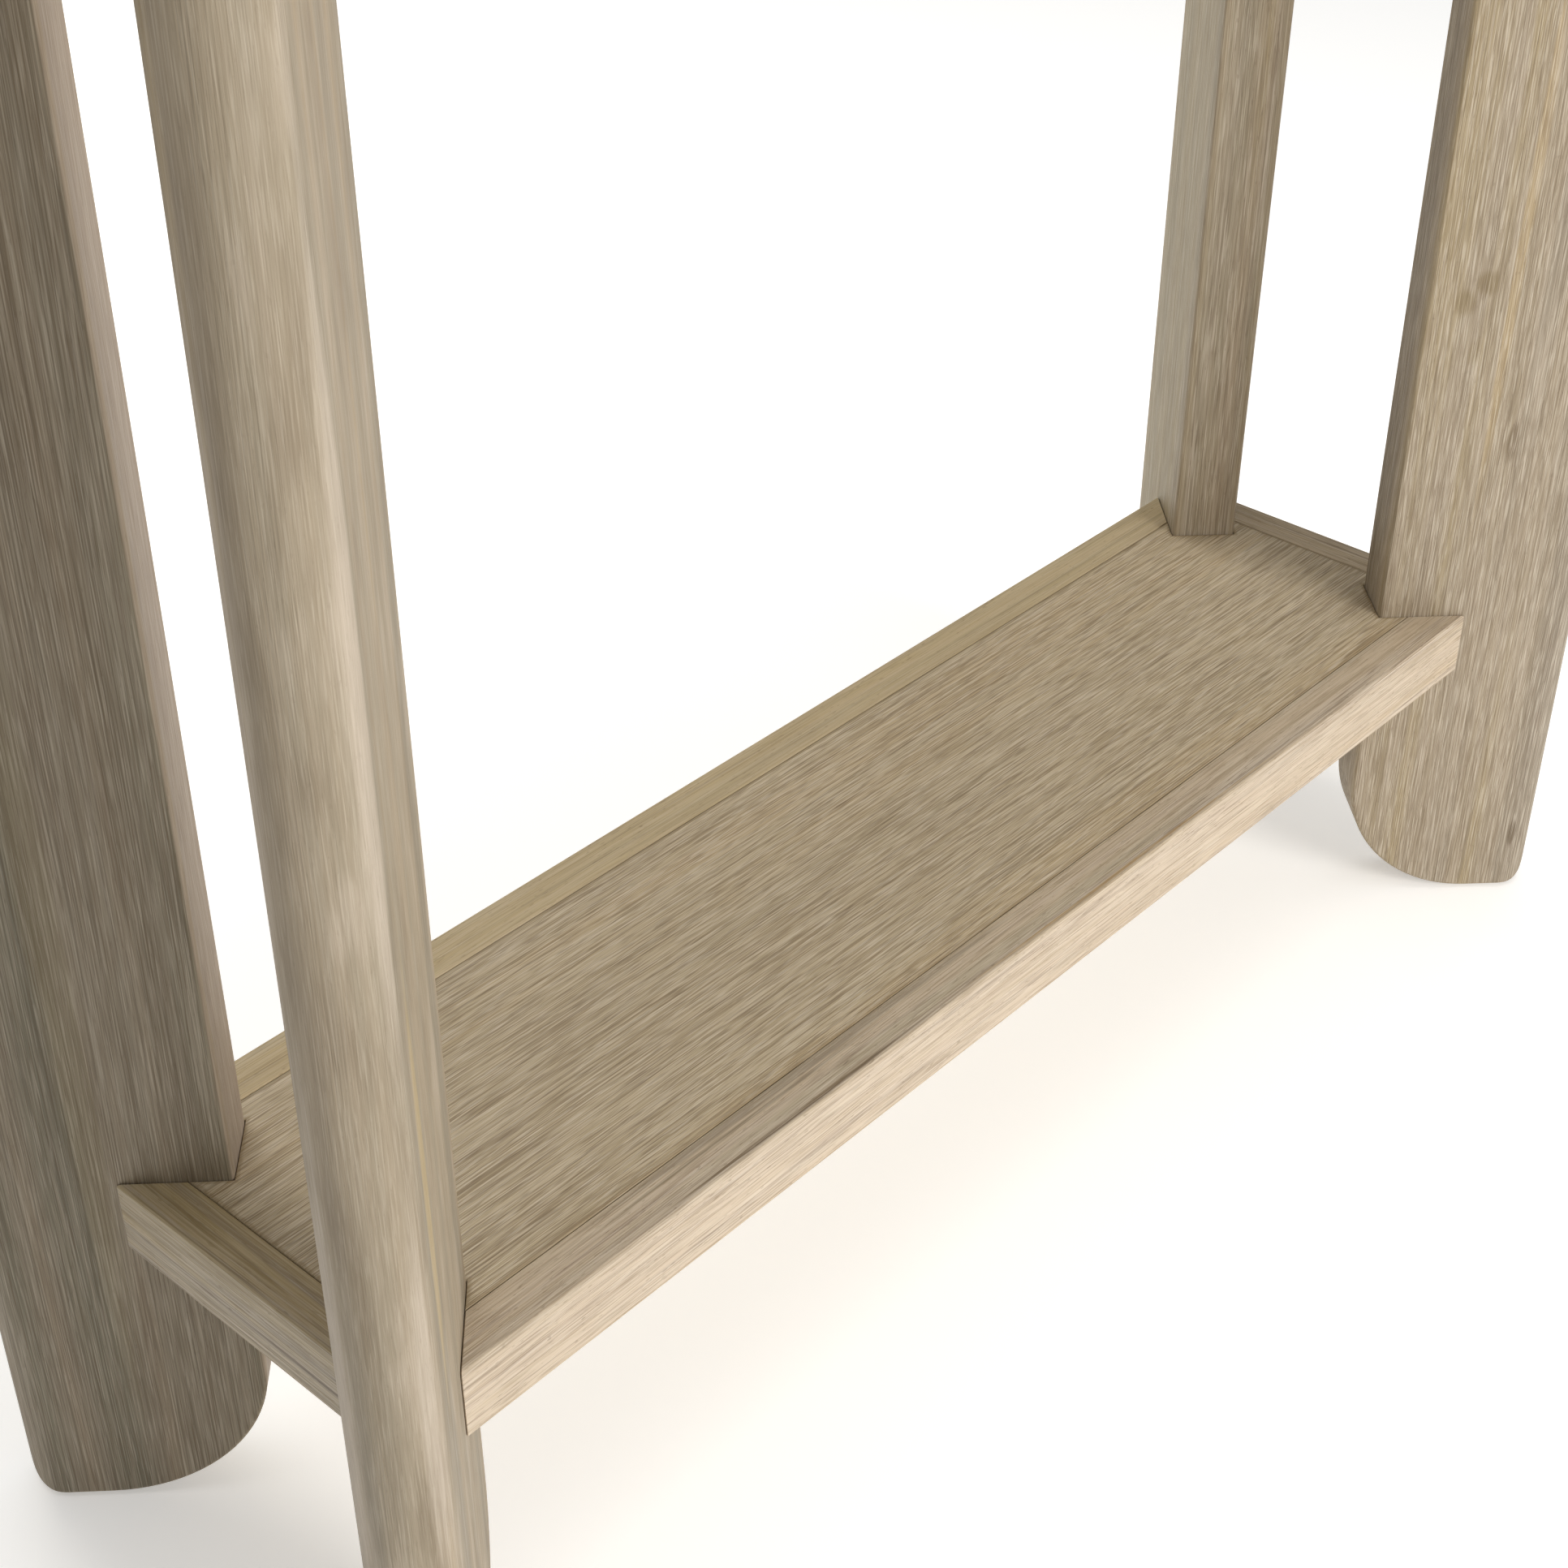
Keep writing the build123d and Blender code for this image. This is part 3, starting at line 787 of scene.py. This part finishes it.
def build_strip(prefix, side, ends, own_start, look):
    """One strip on its side of the shelf or the top; ends gives one end's stations."""
    grain, across = (GRAIN_X, GRAIN_Y) if SIDES[side] % 180 == 0 else (GRAIN_Y, GRAIN_X)
    half_length, half_depth, turn = side_frame(prefix, side)
    low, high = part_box(prefix + "_" + side)
    span = high - low
    full = min(span.x, span.y)
    start = own_start or half_length - max(span.x, span.y) / 2
    section = strip_section(full - STRIP_LEDGE, STRIP_LEDGE, span.z, PANEL_THICKNESS)
    stations = both_ends(ends(start, full, half_length), half_length, half_depth, turn)
    points = sweep_strip(section, stations, full - STRIP_LEDGE, span.z, low.z)
    wood = grained_wood("limed_acacia_" + prefix + "_" + side, grain, across, next_shift(), look)
    return make_piece(prefix + "_" + side, points, wood)


for side in SIDES:
    own_look = {**STRIP_LOOK, **STRIP_TONES.get(side, {})}
    low_strip = build_strip("shelf_strip", side, shelf_end, None, own_look)
    high_strip = build_strip("top_strip", side, top_end, TOP_CORNER_RADIUS, STRIP_LOOK)
    print(low_strip.name, "and", high_strip.name, len(high_strip.data.polygons), "faces")

# %% [markdown]
# ## The panels
# Each panel is a flat board with a fine eased edge, which is why a thin dark line shows
# all round it. The shelf's panel has a slot at each corner for a leg. Its outline is
# worked out corner by corner, each slot from its own leg.

# %% A slab with eased rims
EDGE_RINGS = (3 * MM, 9 * MM)


def slab(outline, low_z, high_z):
    """A flat board with eased rims round a counter-clockwise outline."""
    points = Points()
    quarter = [math.pi / 2 * i / ARC_STEPS for i in range(ARC_STEPS + 1)]
    up = [(JOINT_EASING * (1 - math.sin(t)), low_z + JOINT_EASING * (1 - math.cos(t)), 0)
          for t in quarter]
    flat = [(ring, low_z, ring / MM) for ring in reversed(EDGE_RINGS)]
    lower = flat + up
    upper = [(drawn, low_z + high_z - z, arris) for drawn, z, arris in reversed(lower)]
    rows = []
    for drawn, z, arris in lower + upper:
        loop = inset(outline, drawn)
        rows.append(points.row([(*spot, z) for spot in loop], [arris] * len(loop)))
    points.bridge(rows, closed=True)
    points.faces.append(tuple(reversed(rows[0])))
    points.faces.append(tuple(rows[-1]))
    return points


print("rims eased by", round(JOINT_EASING / MM, 2), "mm")

# %% [markdown]
# ## Slots round the legs
# The shelf's panel is notched where the legs pass, with a hair's gap so the board can
# move. The notch is found from the leg's own mesh: two lines beside the plank and one
# behind its inner face, cut where they meet the panel's edge.

# %% Outlines of both panels


def slotted_outline(low, high):
    """The panel's outline with a slot round each leg, from the front left corner."""
    half_slot = NOSE_RADIUS + LEG_JOINT
    loop = []
    for name in ("front_left", "front_right", "back_right", "back_left"):
        out = CORNERS[name]
        inner, _ = reach("leg_" + name, out)
        side = UP.cross(out)
        side_low, side_high = reach("leg_" + name, side)
        middle = (side_low + side_high) / 2
        corner = Vector((high.x if out.x > 0 else low.x, high.y if out.y > 0 else low.y, 0))
        spots = []
        for sign in (-1, 1):
            line = side * (middle + sign * half_slot)
            inside = line + out * (inner - LEG_JOINT)
            to_x = (corner.x - line.x) / out.x
            to_y = (corner.y - line.y) / out.y
            spots.append((inside, line + out * min(to_x, to_y)))
        ordered = [spots[0][1], spots[0][0], spots[1][0], spots[1][1]]
        loop += [spot.to_2d() for spot in ordered]
    return loop


top_panel_low, top_panel_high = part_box("top_panel")
outlines = {
    "shelf_panel": slotted_outline(panel_low, panel_high),
    "top_panel": [Vector(spot) for spot in (
        (top_panel_low.x, top_panel_low.y), (top_panel_high.x, top_panel_low.y),
        (top_panel_high.x, top_panel_high.y), (top_panel_low.x, top_panel_high.y))],
}
for name, outline in outlines.items():
    low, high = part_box(name)
    wood = grained_wood("limed_acacia_" + name, GRAIN_X, GRAIN_Y, next_shift(), PANEL_LOOK)
    piece = make_piece(name, slab(outline, low.z, high.z), wood)
    print(piece.name, len(piece.data.polygons), "faces")

# %% [markdown]
# ## Inside wood and hardware
# Nobody sees the pads, braces and battens from the front, but a part is turned over and
# looked at. They are plain sanded poplar without lime. The bolts and washers are bright
# zinc-plated steel, the screws are yellow zinc, the inserts are turned brass, and the
# glides are wool felt. The CAD shapes are right as they are, so these keep their meshes
# and only get a finish.

# %% Poplar and plated metal
HIDDEN_LOOK = {
    "bands": ("c6b184", "ceb98d", "d2bf96", "cfba8c", "c8b07d"), "dark": "9c8155", "pale": "dfcfa9",
    "edge": "d6c59f", "stretch": 1.5, "sway": 9.0, "streak": 0.45, "cloud": 0.15,
    "line": 0.2, "lime": 0.0, "groove": 0.18, "pit": 0.0, "rubbed": 0.0,
}
TURNING_MARK = 0.35 * MM       # really about 0.15 mm, coarser here so that it shows
TURNING_DEPTH = 0.03 * MM
PLATING_CLOUD = 4 * MM
CLOUD_SHEEN = 0.08             # how far roughness strays to each side


def plated_metal(name, bright, dull, roughness):
    """Machined and plated metal: fine turning marks and a slightly cloudy plating."""
    material, tree = new_material(name)
    coordinates = add(tree, "ShaderNodeTexCoord")
    marks = add(tree, "ShaderNodeTexNoise", {
        "Vector": coordinates.outputs["Object"], "Scale": 1 / TURNING_MARK, "Detail": 2.0,
    })
    cloud = add(tree, "ShaderNodeTexNoise", {
        "Vector": coordinates.outputs["Object"], "Scale": 1 / PLATING_CLOUD, "Detail": 2.0,
    })
    colour = lay_over(tree, linear(bright), cloud.outputs[0], 0.3, 0.7, 1.0, dull)
    rough = add(tree, "ShaderNodeMapRange", {
        "Value": cloud.outputs[0], "To Min": roughness - CLOUD_SHEEN,
        "To Max": roughness + CLOUD_SHEEN,
    })
    relief = add(tree, "ShaderNodeBump", {
        "Strength": 0.3, "Distance": TURNING_DEPTH, "Height": marks.outputs[0],
    })
    shader = add(tree, "ShaderNodeBsdfPrincipled", {
        "Base Color": colour, "Metallic": 1.0, "Roughness": rough.outputs[0],
        "Normal": relief.outputs[0],
    })
    finish_material(tree, shader)
    return material


turning_mm = round(TURNING_MARK / MM, 2)
print("turning marks", turning_mm, "mm, plating clouds", round(PLATING_CLOUD / MM, 2), "mm")

# %% [markdown]
# ## Felt
# The glides are pressed wool, 2 mm thick. A cloth weave would be wrong: felt has no
# threads, only fibres that lie every way, so a fine noise with some twist stands for them.

# %% Felt and the finish of every CAD node
FELT_TUFT = 0.6 * MM           # a tuft of fibres; one fibre is far too fine to show
FELT_DEPTH = 0.2 * MM


def wool_felt(name):
    """Pressed wool: tufts lie every way, and the nap catches light."""
    material, tree = new_material(name)
    coordinates = add(tree, "ShaderNodeTexCoord")
    fibre = add(tree, "ShaderNodeTexNoise", {
        "Vector": coordinates.outputs["Object"], "Scale": 1 / FELT_TUFT, "Detail": 4.0,
        "Distortion": 1.5,
    })
    colour = lay_over(tree, linear("6f665a"), fibre.outputs[0], 0.35, 0.65, 1.0, "958b7c")
    relief = add(tree, "ShaderNodeBump", {
        "Strength": 0.8, "Distance": FELT_DEPTH, "Height": fibre.outputs[0],
    })
    shader = add(tree, "ShaderNodeBsdfPrincipled", {
        "Base Color": colour, "Roughness": 0.95, "Normal": relief.outputs[0], "Sheen Weight": 0.3,
        "IOR": 1.5,
    })
    finish_material(tree, shader)
    return material


poplar_x = grained_wood("sanded_poplar_along", GRAIN_X, GRAIN_Y, next_shift(), HIDDEN_LOOK)
poplar_y = grained_wood("sanded_poplar_across", GRAIN_Y, GRAIN_X, next_shift(), HIDDEN_LOOK)
FINISHES = {
    "foot_glide": wool_felt("grey_wool_felt"),
    "shelf_brace": poplar_y,
    "top_pad": poplar_x,
    "shelf_batten": poplar_y,
    "top_batten": poplar_y,
    "top_mitre_splines": poplar_x,
    "bolts": plated_metal("zinc_plated_steel_bolts", "c3c6c8", "a5a9ab", 0.34),
    "washers": plated_metal("zinc_plated_steel_washers", "c9ccce", "adb1b3", 0.3),
    "inserts": plated_metal("turned_brass", "d2b36a", "b8964e", 0.36),
    "screws": plated_metal("yellow_zinc_screws", "c9b98a", "ab9a6c", 0.38),
}
for name, node in nodes.items():
    for part, finish in FINISHES.items():
        if name.startswith(part) or name.endswith("_" + part):
            node.data.materials.clear()
            node.data.materials.append(finish)
plain = [name for name, node in nodes.items()
         if not node.hide_render and node.data.materials[0] not in FINISHES.values()]
print("CAD nodes that still need a finish:", plain)

# %% [markdown]
# ## The floor
# The piece stands on a pale floor that runs past every edge of the view. A paper sweep
# would do the same with a bend behind; a flat sheet is enough, since the camera looks
# down. The floor gives off a little light of its own, as white paper under strong lamps
# seems to, which keeps the ground white without burning out the wood.

# %% Pale studio floor
FLOOR_SIZE = 30.0
FLOOR_GLOW = 0.32
ROLLER_TEXTURE = 3 * MM
ROLLER_DEPTH = 0.05 * MM


def painted_floor(name):
    """Matt white studio paint: faint roller texture, no gloss."""
    material, tree = new_material(name)
    coordinates = add(tree, "ShaderNodeTexCoord")
    roller = add(tree, "ShaderNodeTexNoise", {
        "Vector": coordinates.outputs["Object"], "Scale": 1 / ROLLER_TEXTURE, "Detail": 2.0,
    })
    relief = add(tree, "ShaderNodeBump", {
        "Strength": 0.1, "Distance": ROLLER_DEPTH, "Height": roller.outputs[0],
    })
    shader = add(tree, "ShaderNodeBsdfPrincipled", {
        "Base Color": linear("f6f6f5"), "Roughness": 0.9, "Normal": relief.outputs[0],
        "Emission Color": linear("ffffff"), "Emission Strength": FLOOR_GLOW,
    })
    finish_material(tree, shader)
    return material


floor_mesh = bpy.data.meshes.new("floor_mesh")
half_floor = FLOOR_SIZE / 2
floor_corners = [(x * half_floor, y * half_floor, cad_low.z)
                 for x, y in ((-1, -1), (1, -1), (1, 1), (-1, 1))]
floor_mesh.from_pydata(floor_corners, [], [(0, 1, 2, 3)])
floor_mesh.materials.append(painted_floor("matt_white_floor_paint"))
floor = bpy.data.objects.new("studio_floor", floor_mesh)
bpy.context.scene.collection.objects.link(floor)
print("floor", FLOOR_SIZE, "m wide at height", round(cad_low.z, 4))

# %% [markdown]
# ## Soft light
# A furniture studio lights wood with large soft boxes, so the form shows in slow turns
# from light to shade and no hard shadow crosses the grain. A square area light is such a
# box. The key stands low in front, so the long front strip is the brightest face and the
# legs near the camera fall into shade. A plain sky would be simpler, but flat.

# %% Lights


def soft_light(name, place, target, size, watts, tint="ffffff"):
    """A square soft box that looks at a target."""
    data = bpy.data.lights.new(name, "AREA")
    data.shape = "SQUARE"
    data.size = size
    data.energy = watts
    data.color = linear(tint)[:3]
    lamp = bpy.data.objects.new(name, data)
    lamp.location = place
    lamp.rotation_euler = (Vector(target) - Vector(place)).to_track_quat("-Z", "Y").to_euler()
    bpy.context.scene.collection.objects.link(lamp)
    return lamp


middle_of_shelf = (panel_low + panel_high) / 2
soft_light("front_key", (0.05, -2.3, 1.15), middle_of_shelf, size=1.1, watts=40.5, tint="fffcf9")
soft_light("back_fill", (0.3, 2.2, 0.9), middle_of_shelf, size=1.2, watts=12, tint="fff8ea")
soft_light("overhead", (0.2, 0.2, 3.2), middle_of_shelf, size=3.0, watts=56)
world = bpy.data.worlds.new("studio_glow")
world.use_nodes = True
room = world.node_tree.nodes["Background"]
room.inputs["Color"].default_value = linear("fbfaf8")
room.inputs["Strength"].default_value = 0.3
bpy.context.scene.world = world
bpy.context.scene.view_settings.view_transform = "Standard"

# %% [markdown]
# ## Camera
# The camera stands at the near end above the shelf and looks down along it. A lens of
# 58 mm on a 36 mm sensor keeps the legs from flaring out as a phone's lens would.

# %% Camera
camera_data = bpy.data.cameras.new("near_end_view")
camera_data.sensor_width = 36.0
camera_data.lens = 58.19
camera = bpy.data.objects.new("near_end_view", camera_data)
camera.location = (-0.8198, -0.6670, 0.9646)
camera.rotation_euler = (math.radians(55.25), 0, math.radians(-47.93))
bpy.context.scene.collection.objects.link(camera)
bpy.context.scene.camera = camera
print("camera at", tuple(round(c, 3) for c in camera.location))
